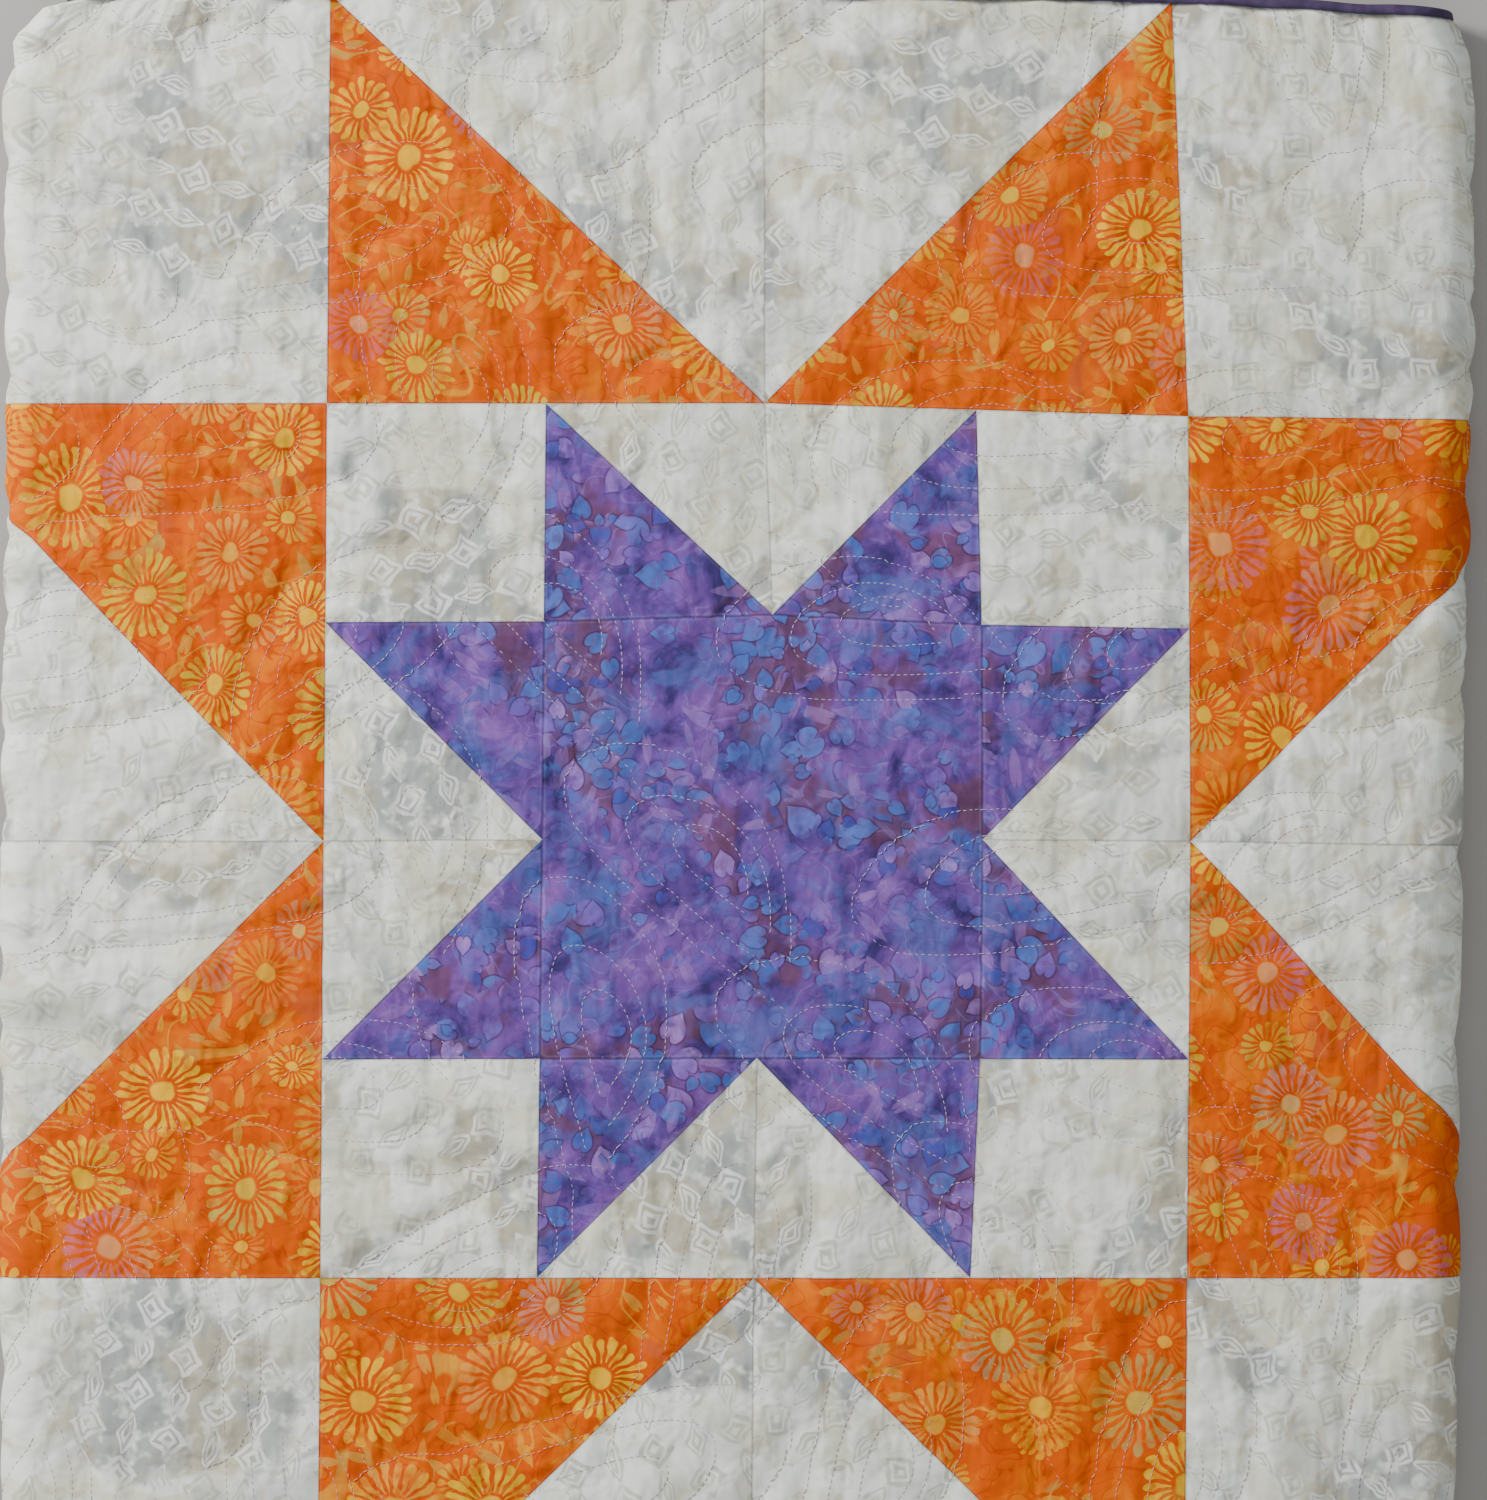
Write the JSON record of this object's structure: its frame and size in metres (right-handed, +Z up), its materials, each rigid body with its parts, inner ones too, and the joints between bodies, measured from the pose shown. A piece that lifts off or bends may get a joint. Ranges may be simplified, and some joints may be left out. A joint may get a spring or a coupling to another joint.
{
  "type": "folded quilt blanket",
  "caption": "Pieced and quilted star blanket with a bound edge, folded in half and then in thirds into a flat rectangular packet.",
  "frame": {"origin": "middle of the folded packet's footprint, on the surface it rests on", "axes": "+Z up out of the star side, +Y towards the bound head edge, so the half fold is towards -Y and the two third folds towards -X and +X"},
  "size_m": [0.5264, 0.6108, 0.0363],
  "materials": {
    "quilted_cloth": "quilted printed cotton: cream, orange and purple patches with soft puffed quilting",
    "binding_cloth": "plain-woven dark purple cotton strip, folded over the edge"
  },
  "bodies": {
    "root": {"quilted_cloth": "quilted_cloth", "head_binding_top": "binding_cloth", "head_binding_under": "binding_cloth", "side_binding_tucked": "binding_cloth", "side_binding_under": "binding_cloth"}
  },
  "joints": []
}
